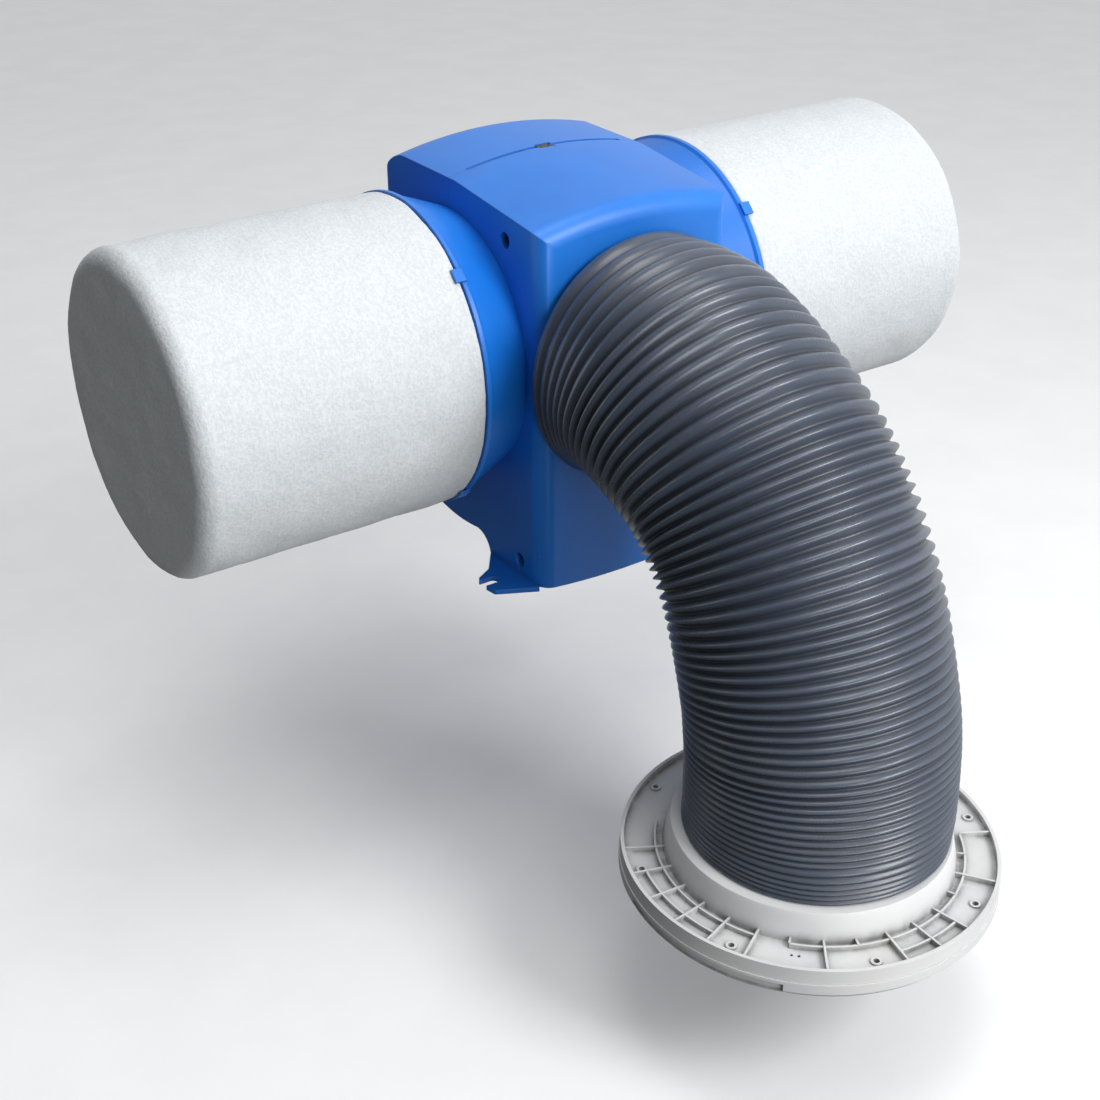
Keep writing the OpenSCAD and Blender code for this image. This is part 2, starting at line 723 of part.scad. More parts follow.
module outlet_spigot() color(blue) fan() outlet_place() difference() {
    step_z = seat_gap + spigot_wall;
    rotate_extrude($fn = fine) polygon([
        [outlet_r - spigot_wall, -casing_wall - 3], [outlet_r, -casing_wall - 3], [outlet_r, seat_gap],
        [spigot_r, seat_gap], [spigot_r, spigot_len], [spigot_r - spigot_wall, spigot_len],
        [spigot_r - spigot_wall, step_z], [outlet_r - spigot_wall, step_z]
    ]);
    ring_z(spigot_screw_count, spigot_screw_ring, 45) translate([0, 0, -more])
        cylinder(h = step_z + 2 * more, r = spigot_screw_r + seat_gap, $fn = 20);
}

module spigot_screws() color(steel) fan() outlet_place() ring_z(spigot_screw_count, spigot_screw_ring, 45)
    translate([0, 0, seat_gap + spigot_wall]) {
        cylinder(h = head_h, r = head_r - 1, $fn = small);
        translate([0, 0, -spigot_wall - casing_wall - 2]) cylinder(h = spigot_wall + casing_wall + 2.1,
            r = spigot_screw_r, $fn = 20);
    }

// ---------- controls ----------

module control_tray() color(black) fan() difference() {
    translate([-tray_w / 2, tray_y, tray_z]) cube([tray_w, tray_d, 10]);
    translate([-tray_w / 2 + 12, tray_y + 2, tray_z + tray_t]) cube([tray_w - 24, tray_d - 4, 20]);
    for (side = [-1, 1]) on_side(side) translate([tray_w / 2 - 12 - more, tray_y - more, tray_z + tray_t])
        cube([12 + 2 * more, tray_d + 2 * more, 20]);
}

module control_board() color(green) fan() {
    translate([-tray_w / 2 + 15, tray_y + 5, board_z]) cube([tray_w - 30, tray_d - 10, board_t]);
    for (x = [-tray_w / 2 + 22, tray_w / 2 - 22], y = [tray_y + 11, tray_y + tray_d - 11])
        translate([x, y, tray_z + tray_t]) cylinder(h = board_z - tray_z - tray_t, r = 3, $fn = small);
}

module board_parts() color(grey) fan() translate([0, tray_y + tray_d / 2, board_z + board_t]) {
    translate([-52, -14, 0]) cube([30, 24, 20]);
    for (x = [-8, 8]) translate([x, 4, 0]) cylinder(h = 22, r = 6, $fn = small);
    translate([20, -18, 0]) cube([16, 10, 12]);
    translate([20, 4, 0]) cube([12, 12, 6]);
}

module terminal_block() color(white) fan() translate([44, tray_y + tray_d / 2 - 14, board_z + board_t]) difference() {
    cube([12, 28, 14]);
    for (i = [0 : 3]) translate([6, 3.5 + 7 * i, 4]) cylinder(h = 20, r = 2, $fn = 20);
}

module tray_screws() color(steel) fan() for (side = [-1, 1]) on_side(side)
    translate([half_w - casing_wall - 4, tray_y + tray_d / 2, tray_z]) {
        cylinder(h = 2, r = 3.2, $fn = small);
        translate([0, 0, -ledge_t]) cylinder(h = ledge_t + 0.1, r = screw_r * 0.8, $fn = 20);
    }

// Axis of the gland: +Y is outwards from the back face
module gland_place() fan() translate([gland_x, back_reach, gland_z]) rotate([-90, 0, 0]) children();

module cable_gland() color(black) gland_place() difference() {
    union() {
        cylinder(h = 5, r = gland_hex_r, $fn = 6);
        translate([0, 0, 4]) cylinder(h = 14, r = gland_r + 2, $fn = small);
        translate([0, 0, -casing_wall - 9]) cylinder(h = casing_wall + 10, r = gland_r, $fn = small);
    }
    translate([0, 0, -far / 20]) cylinder(h = far / 10, r = gland_bore_r, $fn = small);
}

module gland_nut() color(black) gland_place() difference() {
    translate([0, 0, -casing_wall - 5 - seat_gap]) cylinder(h = 5, r = gland_hex_r, $fn = 6);
    translate([0, 0, -far / 20]) cylinder(h = far / 10, r = gland_r + seat_gap / 2, $fn = small);
}

// ---------- duct ----------

// Direction of the route at point i, with the two ends set square to what they join
function route_way(i) = i == 0 ? 50 * duct_start : i == last_point ? 24 * duct_finish
    : (duct_points[i + 1] - duct_points[i - 1]) / 2;

// Cubic curve through the route's points: t counts points along it
function hermite(a, ma, b, mb, s) = a * (1 + 2 * s) * (1 - s) * (1 - s) + ma * s * (1 - s) * (1 - s)
    + b * s * s * (3 - 2 * s) + mb * s * s * (s - 1);
function leg(t) = min(floor(t), last_point - 1);
function route(t) = hermite(duct_points[leg(t)], route_way(leg(t)), duct_points[leg(t) + 1],
    route_way(leg(t) + 1), t - leg(t));
// The route's parameter t at share u of the ridges
function ridge_t(u) = lookup(u, [for (i = [0 : last_point]) [ridge_shares[i], i]]);
// How far the ring at t has turned from upright towards level
function turn(t) = 90 * (1 - pow(max(1 - t / last_point, 0), turn_power));
function ring_points(t, r) = [for (k = [0 : duct_sides - 1]) route(t)
    + r * [cos(k * 360 / duct_sides), sin(k * 360 / duct_sides) * sin(turn(t)), -sin(k * 360 / duct_sides) * cos(turn(t))]];

// A tube whose outside follows the ridges and whose bore is smooth
module flexible_duct() color(duct_grey) fan() translate(duct_base) {
    outer_count = 2 * ridge_count;
    outer = [for (i = [0 : outer_count]) each
        ring_points(ridge_t(i / outer_count), i % 2 == 0 ? duct_r - ridge_depth : duct_r)];
    bore = [for (i = [0 : bore_rings]) each ring_points(i * last_point / bore_rings, duct_bore_r)];
    first_bore = (outer_count + 1) * duct_sides;
    last_outer = outer_count * duct_sides;
    last_bore = first_bore + bore_rings * duct_sides;
    n = duct_sides;
    polyhedron(
        points = concat(outer, bore),
        faces = concat(
            [for (i = [0 : outer_count - 1], k = [0 : n - 1]) each
                [[i * n + k, i * n + (k + 1) % n, (i + 1) * n + k],
                 [i * n + (k + 1) % n, (i + 1) * n + (k + 1) % n, (i + 1) * n + k]]],
            [for (i = [0 : bore_rings - 1], k = [0 : n - 1]) each
                [[first_bore + i * n + k, first_bore + (i + 1) * n + k, first_bore + i * n + (k + 1) % n],
                 [first_bore + i * n + (k + 1) % n, first_bore + (i + 1) * n + k,
                  first_bore + (i + 1) * n + (k + 1) % n]]],
            [for (k = [0 : n - 1]) each
                [[k, first_bore + k, (k + 1) % n], [(k + 1) % n, first_bore + k, first_bore + (k + 1) % n]]],
            [for (k = [0 : n - 1]) each
                [[last_outer + k, last_outer + (k + 1) % n, last_bore + k],
                 [last_outer + (k + 1) % n, last_bore + (k + 1) % n, last_bore + k]]]
        )
    );
}

// ---------- diffuser ----------

// Places children at the foot of the duct, on the diffuser's own axis
module diffuser() fan() translate(duct_foot) children();

// Rib numbers run round the flange, one every rib_pitch degrees
full_ribs = [12 : 17];
tick_ribs = [18 : 26];
outer_ribs = [19, 21, 22, 23, 25, 27];

module radial_rib(number, from, to) rotate(rib_phase + rib_pitch * number)
    translate([from, -rib_t / 2, floor_z - more]) cube([to - from, rib_t, rib_h + more]);

// A tall wedge about the diffuser's axis between two rib numbers
module wedge(first, last) translate([0, 0, -far / 4]) linear_extrude(far / 2) polygon(concat([[0, 0]],
    [for (i = [0 : 8]) far / 4 * [cos(rib_phase + rib_pitch * (first + (last - first) * i / 8)),
                                  sin(rib_phase + rib_pitch * (first + (last - first) * i / 8))]]));

// A ring of height h standing on z
module band(z, h, inner, outer) translate([0, 0, z]) difference() {
    cylinder(h = h, r = outer, $fn = fine);
    translate([0, 0, -more]) cylinder(h = h + 2 * more, r = inner, $fn = fine);
}

// Arc rib of radius r between two rib numbers, a little lower than the radial ribs that it meets
module arc_rib(r, first, last) intersection() {
    band(floor_z - more, rib_h + more / 2, r - rib_t / 2, r + rib_t / 2);
    wedge(first, last);
}

module flange_body() rotate_extrude($fn = fine) polygon([
    [spigot_r - spigot_wall, spigot_len], [spigot_r, spigot_len], [spigot_r, -seat_gap], [shoulder_top_r, -seat_gap],
    [shoulder_top_r + 1, -seat_gap - 2], [shoulder_r, floor_z], [flange_r - rim_w, floor_z],
    [flange_r - rim_w, rim_z], [flange_r, rim_z], [flange_r, trim_z], [flange_r - rim_w, trim_z],
    [flange_r - rim_w, plate_z], [shoulder_r - 4, plate_z], [shoulder_top_r - 3, -seat_gap - 3],
    [spigot_r - spigot_wall, -seat_gap - 3]
]);

module diffuser_flange() color(white) diffuser() difference() {
    union() {
        flange_body();
        for (i = full_ribs) radial_rib(i, shoulder_r - 3, flange_r - rim_w + more / 2);
        for (i = tick_ribs) radial_rib(i, shoulder_r - 3, arc_r);
        for (i = outer_ribs) radial_rib(i, arc_r, flange_r - rim_w + more / 2);
        arc_rib(arc_r, 10.7, 17);
        arc_rib(arc_r, 18, 27);
        arc_rib(outer_arc_r, 13, 16);
        arc_rib(outer_arc_r, 21, 23);
        ring_z(screw_count, screw_circle_r, screw_phase) translate([0, 0, floor_z - more])
            cylinder(h = 1.5 + more, r = screw_hole_r + 2, $fn = small);
    }
    ring_z(screw_count, screw_circle_r, screw_phase) translate([0, 0, floor_z - 10])
        cylinder(h = 20, r = screw_hole_r, $fn = small);
    for (i = [-1, 1]) rotate(rib_phase + rib_pitch * 18.2 + i * 1.2) translate([132, 0, plate_z - more])
        cylinder(h = 10, r = 1.2, $fn = 20);
}

// Room-side ring with a bottom lip and a shallow side groove that ends beside the release notch
module trim_ring() color(white) diffuser() {
    top = trim_z - seat_gap;
    difference() {
        rotate_extrude($fn = fine) polygon([
            [flange_r - rim_w, top], [trim_r, top], [trim_r, top - trim_h + 4], [trim_r - 3, top - trim_h],
            [trim_r - trim_wall, top - trim_h], [trim_r - trim_wall, top - trim_h + 3], [flange_r - rim_w, top - 5]
        ]);
        intersection() {
            band(top - trim_h + 3, trim_h - 6, trim_r - 2.5, trim_r + more);
            wedge(13.3, 18);
        }
    }
}

module peg_sockets() color(white) diffuser() ring_z(peg_count, peg_circle_r, 45)
    translate([0, 0, plate_z - seat_gap - socket_h]) difference() {
        cylinder(h = socket_h, r = socket_r, $fn = small);
        translate([0, 0, -more]) cylinder(h = socket_h + 2 * more, r = peg_r + slide_gap, $fn = small);
    }

module diffuser_disc() color(white) diffuser() translate([0, 0, disc_z]) rotate_extrude($fn = fine) {
    polygon([[0, -disc_t], [disc_r - 6, -disc_t], [disc_r, -disc_t + 3], [disc_r, 0], [disc_r - 3, 0],
             [disc_r - 3, -1], [0, -1]]);
}

module disc_pegs() color(white) diffuser() ring_z(peg_count, peg_circle_r, 45)
    translate([0, 0, disc_z - 1 + seat_gap]) cylinder(h = plate_z - disc_z - seat_gap, r = peg_r, $fn = small);

// ---------- nodes ----------

front_casing();
rear_casing();
seam_clip();
cross_bars();
casing_screws();
left_collar();
right_collar();
collar_screws();
left_filter_sleeve();
left_filter_cage();
right_filter_sleeve();
right_filter_cage();
left_scroll_shell();
right_scroll_shell();
left_inlet_cone();
right_inlet_cone();
scroll_screws();
outlet_spigot();
spigot_screws();
motor_bracket();
rubber_mounts();
bracket_screws();
motor_stator();
stator_windings();
motor_bearings();
motor_rotor();
motor_shaft();
rotor_magnets();
impeller();
impeller_screws();
control_tray();
control_board();
board_parts();
terminal_block();
tray_screws();
cable_gland();
gland_nut();
flexible_duct();
diffuser_flange();
trim_ring();
peg_sockets();
diffuser_disc();
disc_pegs();
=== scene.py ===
# %% [markdown]
# # Loft ventilation unit
# A fan casing between two filters, with a ridged duct down to a ceiling diffuser.
# The exact CAD model is the frame: every hard piece is shown from it with its own finish. The duct and the two
# filters are soft, so they are made here as dense surfaces that follow the same sizes.

# %% Load the frame
import json
import math
import bpy
import numpy as np
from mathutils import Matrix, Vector


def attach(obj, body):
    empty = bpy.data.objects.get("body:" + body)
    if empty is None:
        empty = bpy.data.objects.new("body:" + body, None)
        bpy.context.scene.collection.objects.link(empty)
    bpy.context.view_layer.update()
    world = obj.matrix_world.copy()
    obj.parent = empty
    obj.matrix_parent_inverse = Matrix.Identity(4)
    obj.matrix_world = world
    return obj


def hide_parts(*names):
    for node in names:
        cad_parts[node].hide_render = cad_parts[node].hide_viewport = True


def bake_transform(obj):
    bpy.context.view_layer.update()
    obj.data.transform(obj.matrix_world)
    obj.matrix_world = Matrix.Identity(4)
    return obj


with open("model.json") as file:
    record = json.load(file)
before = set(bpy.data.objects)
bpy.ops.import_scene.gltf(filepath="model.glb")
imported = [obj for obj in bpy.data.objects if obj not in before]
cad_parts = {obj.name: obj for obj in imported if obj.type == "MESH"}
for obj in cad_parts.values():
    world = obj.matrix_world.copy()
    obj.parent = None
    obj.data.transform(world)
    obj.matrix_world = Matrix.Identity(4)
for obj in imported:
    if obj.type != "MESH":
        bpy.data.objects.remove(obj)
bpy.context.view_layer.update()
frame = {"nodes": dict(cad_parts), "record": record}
nodes = frame["nodes"]
FAN = np.array([0.0, 0.103, 0.200])  # middle of the fan, on the motor shaft
rng = np.random.default_rng(7)

# %% [markdown]
# ## Surfaces from grids
# A surface can be made from a point that depends on two numbers, one along it and one round it. All the points are
# worked out at once as one array, and faces join each point to its neighbours. The same could be done with a Screw or
# Array modifier, but a grid gives exact control of every ridge and keeps one clean mesh.


# %% Grid helpers
def waves(points, count, shortest, longest):
    """Smooth random height at each point p: the sum of count plane waves cos(k . p + phase) with random
    directions, divided by sqrt(count) so that the height stays near 1 whatever the count."""
    way = rng.normal(size=(count, 3))
    way /= np.linalg.norm(way, axis=1, keepdims=True)
    length = rng.uniform(shortest, longest, count)
    phase = rng.uniform(0, 2 * math.pi, count)
    return np.cos(points @ (way * 2 * math.pi / length[:, None]).T + phase).mean(axis=-1) * math.sqrt(count)


def skin(name, rows, wrap):
    """A closed mesh through rows of points, shape (rows, around, 3). Each row is a ring. With wrap the last row
    joins the first, as in a tube with a wall; without it each end row is closed by a fan to the row's mean point.
    The sign of the volume inside shows which way the faces are wound, and they are turned to face outward."""
    n, m = rows.shape[:2]
    index = np.arange(n * m).reshape(n, m)
    ladder = np.vstack([index, index[:1]]) if wrap else index
    a, b = ladder[:-1], ladder[1:]
    quads = np.stack([a, np.roll(a, -1, 1), np.roll(b, -1, 1), b], -1).reshape(-1, 4)
    points = rows.reshape(-1, 3)
    faces = quads.tolist()
    if not wrap:
        points = np.vstack([points, rows[0].mean(0), rows[-1].mean(0)])
        first, last = index[0], index[-1]
        fan_a = np.stack([np.roll(first, -1), first, np.full(m, n * m)], -1)
        fan_b = np.stack([last, np.roll(last, -1), np.full(m, n * m + 1)], -1)
        faces += fan_a.tolist() + fan_b.tolist()
    corners = points[quads]
    volume = np.einsum("ij,ij->", corners[:, 0], np.cross(corners[:, 1], corners[:, 2])
                       + np.cross(corners[:, 2], corners[:, 3]))
    if volume < 0:
        faces = [f[::-1] for f in faces]
    mesh = bpy.data.meshes.new(name)
    mesh.from_pydata(points.tolist(), [], faces)
    mesh.polygons.foreach_set("use_smooth", np.ones(len(mesh.polygons), bool))
    mesh.update()
    obj = bpy.data.objects.new(name, mesh)
    bpy.context.scene.collection.objects.link(obj)
    print(name, "points", len(points), "faces", len(faces), "first wound outward", volume > 0)
    return obj


def mark(obj, name, values):
    """One number at each point of the mesh, which a material can read by name."""
    layer = obj.data.attributes.new(name, "FLOAT", "POINT")
    layer.data.foreach_set("value", np.ascontiguousarray(values, dtype=np.float32).ravel())


# %% [markdown]
# ## The flexible duct
# The duct's centre follows a smooth curve through eleven points, and its rings turn from upright at the casing to
# level at the diffuser. Where the duct is pressed together the ridges are fine and shallow, and where it bends they
# are open and round. A real one is a thin film wound over a spring, so the crests are soft and the grooves narrow.

# %% Duct
DUCT_R = 0.110
BORE_R = 0.1012
RIDGES = 56
AROUND = 128  # points round each ring
ROWS_PER_RIDGE = 10
BORE_ROWS = 113
TURN_POWER = 1.32  # above 1, so the rings turn fastest near the casing
DENT = 0.00022  # height of the film's gentle dents
route_points = np.array([
    [0, 0, 0], [-11, -49, 11], [-25, -96, 18], [-25, -143, 0], [-18, -186, -34], [-15, -221, -76],
    [-18, -250, -118], [-24, -275, -162], [-31, -296, -208], [-43, -312, -256], [-49, -317, -278]]) / 1000
spans = len(route_points) - 1
ridge_shares = np.array([0, 3, 6, 11, 16, 22, 27, 33, 40, 50, 56]) / RIDGES  # ridges passed at each point
duct_base = FAN + [0, -0.140, 0.008]


def along_route(u):
    """The place on the route, 0 at its first point and 1 more at each next one, at shares u of the ridges."""
    return np.interp(u, ridge_shares, np.arange(spans + 1.0))


def route(t):
    """Cubic curve through the points: between two of them a cubic Hermite blend of their places and directions."""
    way = np.zeros_like(route_points)
    way[1:-1] = (route_points[2:] - route_points[:-2]) / 2
    way[0] = [0, -0.050, 0]
    way[-1] = [0, 0, -0.024]
    i = np.minimum(t.astype(int), spans - 1)
    s = (t - i)[:, None]
    return (route_points[i] * (1 + 2 * s) * (1 - s) ** 2 + way[i] * s * (1 - s) ** 2
            + route_points[i + 1] * s * s * (3 - 2 * s) + way[i + 1] * s * s * (s - 1))


def duct_rings(u, radius):
    """Rings of the duct at shares u of its ridges. Ring: centre + radius * (cos k, sin k sin turn, -sin k cos turn),
    where turn goes from 0 to 90 degrees along the route."""
    t = along_route(u)
    turn = math.pi / 2 * (1 - np.maximum(1 - t / spans, 0) ** TURN_POWER)
    across = np.stack([np.cos(k)[None, :] * np.ones_like(turn)[:, None],
                       np.sin(k)[None, :] * np.sin(turn)[:, None],
                       -np.sin(k)[None, :] * np.cos(turn)[:, None]], -1)
    return duct_base + route(t)[:, None, :] + radius[..., None] * across


k = np.arange(AROUND) * 2 * math.pi / AROUND
u = np.linspace(0, 1, RIDGES * ROWS_PER_RIDGE + 1)
t_at = along_route(u)
swell = 0.5 - 0.5 * np.cos(2 * math.pi * u * RIDGES)
power = np.interp(t_at, [0, 2, 4.5, 7, 10], [0.55, 0.60, 0.95, 0.90, 0.75])
depth = np.interp(t_at, [0, 3, 6, 8, 9, 10], [0.0060, 0.0062, 0.0058, 0.0036, 0.0020, 0.0016])
girth = DUCT_R + np.interp(t_at, [0, 1.5, 3, 8, 9.2, 10], [0.0025, 0.0015, 0, 0, -0.0015, -0.0025])
crest = swell ** power
straight = np.stack([np.cos(k)[None, :] * DUCT_R * np.ones_like(u)[:, None],
                     np.sin(k)[None, :] * DUCT_R * np.ones_like(u)[:, None],
                     (u * 0.5)[:, None] * np.ones_like(k)[None, :]], -1)
dent = waves(straight, 24, 0.03, 0.12) * DENT
outer = duct_rings(u, (girth - depth * (1 - crest))[:, None] + dent)
bore_u = np.linspace(1, 0, BORE_ROWS)
bore = duct_rings(bore_u, np.full((BORE_ROWS, AROUND), BORE_R))
duct = skin("duct_film", np.concatenate([outer, bore]), wrap=True)
mark(duct, "crest", np.concatenate([np.repeat(crest, AROUND), np.zeros(BORE_ROWS * AROUND)]))
mark(duct, "along", np.concatenate([np.repeat(u, AROUND), np.repeat(bore_u, AROUND)]))
print("duct length", round(float(np.linalg.norm(np.diff(route(t_at), axis=0), axis=1).sum()), 3), "m")

# %% [markdown]
# ## The filters
# Each filter is a thick sleeve of bonded polyester wadding, open at the collar and closed at the far end. Its shape is
# a profile turned round the fan's axis. Wadding is never quite true, so low waves push the surface in and out by a few
# tenths of a millimetre, and the far rim is pressed round.

# %% Filters
FILTER_R = 0.1395
WADDING = 0.022
RIM_R = 0.016
LIP_R = 0.003
MIDDLE_R = 0.002  # where the closed end's rings stop, short of the axis
START_X = 0.1526
END_X = 0.4096


def stroke(a, b, step):
    """Points along a straight line from a towards b, the end left out."""
    a, b = np.array(a, float), np.array(b, float)
    n = max(int(np.linalg.norm(b - a) / step), 2)
    return a + (b - a) * (np.arange(n) / n)[:, None]


def filter_sleeve(name, side, around=256):
    """Profile (radius, x) from the cavity's end along its wall, over the open rim, along the outside and round the
    closed end: point = (side x, r cos a, r sin a) moved along its normal by small waves."""
    inner = FILTER_R - WADDING
    turn = np.linspace(0, math.pi / 2, 15)[:-1]
    lip = np.linspace(0, math.pi / 2, 6)[:-1]
    profile = np.concatenate([
        stroke([MIDDLE_R, END_X - WADDING], [inner, END_X - WADDING], 0.006),
        stroke([inner, END_X - WADDING], [inner, START_X + LIP_R], 0.006),
        np.stack([inner + LIP_R - LIP_R * np.cos(lip), START_X + LIP_R - LIP_R * np.sin(lip)], -1),
        stroke([inner + LIP_R, START_X], [FILTER_R - LIP_R, START_X], 0.003),
        np.stack([FILTER_R - LIP_R + LIP_R * np.sin(lip), START_X + LIP_R - LIP_R * np.cos(lip)], -1),
        stroke([FILTER_R, START_X + LIP_R], [FILTER_R, END_X - RIM_R], 0.0022),
        np.stack([FILTER_R - RIM_R + RIM_R * np.cos(turn), END_X - RIM_R + RIM_R * np.sin(turn)], -1),
        stroke([FILTER_R - RIM_R, END_X], [MIDDLE_R, END_X], 0.0025),
        [[MIDDLE_R, END_X]],
    ])
    slope = np.gradient(profile, axis=0)
    normal = np.stack([-slope[:, 1], slope[:, 0]], -1)
    normal /= np.linalg.norm(normal, axis=1, keepdims=True)
    a = np.arange(around) * 2 * math.pi / around

    def place(r, x):
        return np.stack([side * x * np.ones_like(a), r * np.cos(a), r * np.sin(a)], -1)

    r = profile[:, :1]
    rows = place(r, profile[:, 1:])
    middle = len(profile) // 2
    lump = waves(rows, 40, 0.035, 0.11) * 0.00045 + waves(rows, 60, 0.006, 0.018) * 0.00010
    lump *= np.minimum(1, r / 0.02)
    outward = place(normal[:, :1], normal[:, 1:])
    flip = -1 if (outward[middle] * rows[middle]).sum() < 0 else 1
    return skin(name, FAN + rows + flip * lump[..., None] * outward, wrap=False)


sleeves = {side: filter_sleeve(f"{side}_filter_wadding", sign)
           for side, sign in (("left", -1), ("right", 1))}

# %% [markdown]
# ## Shared effects
# Some effects belong to every material: a slow change of tone, a fine grain, rubbed edges, painted shade darkening the
# corners and recesses, and settled dust. Each is a small group of shader nodes with its own inputs, built once and
# used with other values in each material.


# %% Node groups
class Tree:
    """Short names for adding and joining nodes. In add, i0, i6 and so on name an input by its number, and any other
    name is the input's label with spaces as underscores. A socket is joined and a plain value is set."""

    def __init__(self, tree):
        self.nodes, self.links = tree.nodes, tree.links

    def add(self, kind, fixed=None, **joined):
        node = self.nodes.new(kind)
        for key, value in (fixed or {}).items():
            setattr(node, key, value)
        for key, value in joined.items():
            numbered = key[0] == "i" and key[1:].isdigit()
            socket = node.inputs[int(key[1:]) if numbered else key.replace("_", " ")]
            if isinstance(value, bpy.types.NodeSocket):
                self.links.new(value, socket)
            else:
                socket.default_value = value
        return node

    def math(self, what, a, b=0.0, clamp=False):
        return self.add("ShaderNodeMath", {"operation": what, "use_clamp": clamp}, i0=a, i1=b).outputs[0]

    def mix(self, factor, a, b):
        node = self.add("ShaderNodeMix", {"data_type": "RGBA"}, i0=factor, i6=a, i7=b)
        return node.outputs[2]

    def fit(self, value, low, high, to_low=0.0, to_high=1.0):
        return self.add("ShaderNodeMapRange", {"interpolation_type": "SMOOTHSTEP"}, Value=value, From_Min=low,
                        From_Max=high, To_Min=to_low, To_Max=to_high).outputs[0]

    def noise(self, scale, detail=3.0, rough=0.5, where=None):
        where = where or self.add("ShaderNodeTexCoord").outputs["Object"]
        return self.add("ShaderNodeTexNoise", Vector=where, Scale=scale, Detail=detail,
                        Roughness=rough).outputs["Fac"]


def new_group(name, inputs, outputs):
    """An empty shader group: inputs are (name, value), outputs are (name, socket type)."""
    group = bpy.data.node_groups.new(name, "ShaderNodeTree")
    for label, value in inputs:
        kind = "NodeSocketVector" if isinstance(value, tuple) else "NodeSocketFloat"
        socket = group.interface.new_socket(label, in_out="INPUT", socket_type=kind)
        socket.default_value = value
    for label, kind in outputs:
        group.interface.new_socket(label, in_out="OUTPUT", socket_type=kind)
    given = group.nodes.new("NodeGroupInput").outputs
    return group, Tree(group), given, group.nodes.new("NodeGroupOutput").inputs


mottle, g, given, out = new_group("Slow change of tone", [("Scale", 12.0), ("Amount", 1.0)],
                                  [("Value", "NodeSocketFloat")])
wide = g.noise(given["Scale"], 4.0, 0.55)
g.links.new(g.math("MULTIPLY", g.fit(wide, 0.32, 0.68), given["Amount"]), out["Value"])

grain, g, given, out = new_group("Moulded grain", [("Scale", 900.0), ("Height", 0.0001), ("Edge radius", 0.001)],
                                 [("Normal", "NodeSocketVector"), ("Height", "NodeSocketFloat")])
tiny = g.noise(given["Scale"], 2.0, 0.6)
soft_edge = g.add("ShaderNodeBevel", {"samples": 4}, Radius=given["Edge radius"]).outputs[0]
bump = g.add("ShaderNodeBump", Strength=1.0, Distance=given["Height"], Height=tiny, Normal=soft_edge)
g.links.new(bump.outputs[0], out["Normal"])
g.links.new(tiny, out["Height"])

wear, g, given, out = new_group("Rubbed edges", [("Radius", 0.002), ("Amount", 0.5)], [("Mask", "NodeSocketFloat")])
soft_edge = g.add("ShaderNodeBevel", {"samples": 4}, Radius=given["Radius"]).outputs[0]
true_normal = g.add("ShaderNodeNewGeometry").outputs["Normal"]
bend = g.add("ShaderNodeVectorMath", {"operation": "DOT_PRODUCT"}, i0=soft_edge, i1=true_normal).outputs["Value"]
edge = g.fit(bend, 0.985, 0.80)
broken = g.fit(g.noise(60.0, 6.0, 0.7), 0.42, 0.66)
g.links.new(g.math("MULTIPLY", g.math("MULTIPLY", edge, broken), given["Amount"], True), out["Mask"])

# Painted shade: an ambient-occlusion mask, broken by noise, that darkens corners and recesses where shade falls.
painted_corner_shade, g, given, out = new_group("Painted corner shade", [("Distance", 0.01), ("Amount", 0.3)], [("Mask", "NodeSocketFloat")])
open_sky = g.add("ShaderNodeAmbientOcclusion", {"samples": 6, "only_local": True},
                 Distance=given["Distance"]).outputs["AO"]
blotch = g.fit(g.noise(70.0, 6.0, 0.65), 0.25, 0.62, 0.35, 1.0)
shut_in = g.math("MULTIPLY", g.fit(open_sky, 0.97, 0.45), blotch)
g.links.new(g.math("MULTIPLY", shut_in, given["Amount"], True), out["Mask"])

dust, g, given, out = new_group("Settled dust", [("Amount", 0.3), ("Scale", 35.0)], [("Mask", "NodeSocketFloat")])
up = g.add("ShaderNodeSeparateXYZ", Vector=g.add("ShaderNodeNewGeometry").outputs["Normal"]).outputs["Z"]
facing = g.fit(up, 0.25, 1.0)
patchy = g.fit(g.noise(given["Scale"], 7.0, 0.62), 0.35, 0.75)
g.links.new(g.math("MULTIPLY", g.math("MULTIPLY", facing, patchy), given["Amount"], True), out["Mask"])
print("groups", [n.name for n in bpy.data.node_groups])

# %% [markdown]
# ## Materials
# Every finish starts from one recipe: two close tones mixed by a slow change, rubbed edges, a little dust, painted
# shade darkening the corners, and a grain that also changes the gloss. What differs is the tones, the gloss and how
# coarse the grain is.


# %% Material recipe
def tone(r, g, b):
    """A screen colour from 0 to 255 as the linear light that Blender mixes."""
    c = np.array([r, g, b]) / 255
    lin = np.where(c <= 0.04045, c / 12.92, ((c + 0.055) / 1.055) ** 2.4)
    return (*[float(v) for v in lin], 1.0)


def use(t, group, **values):
    """A shared group placed in tree t, with its inputs set."""
    node = t.add("ShaderNodeGroup", {"node_tree": group})
    for key, value in values.items():
        node.inputs[key.replace("_", " ")].default_value = value
    return node


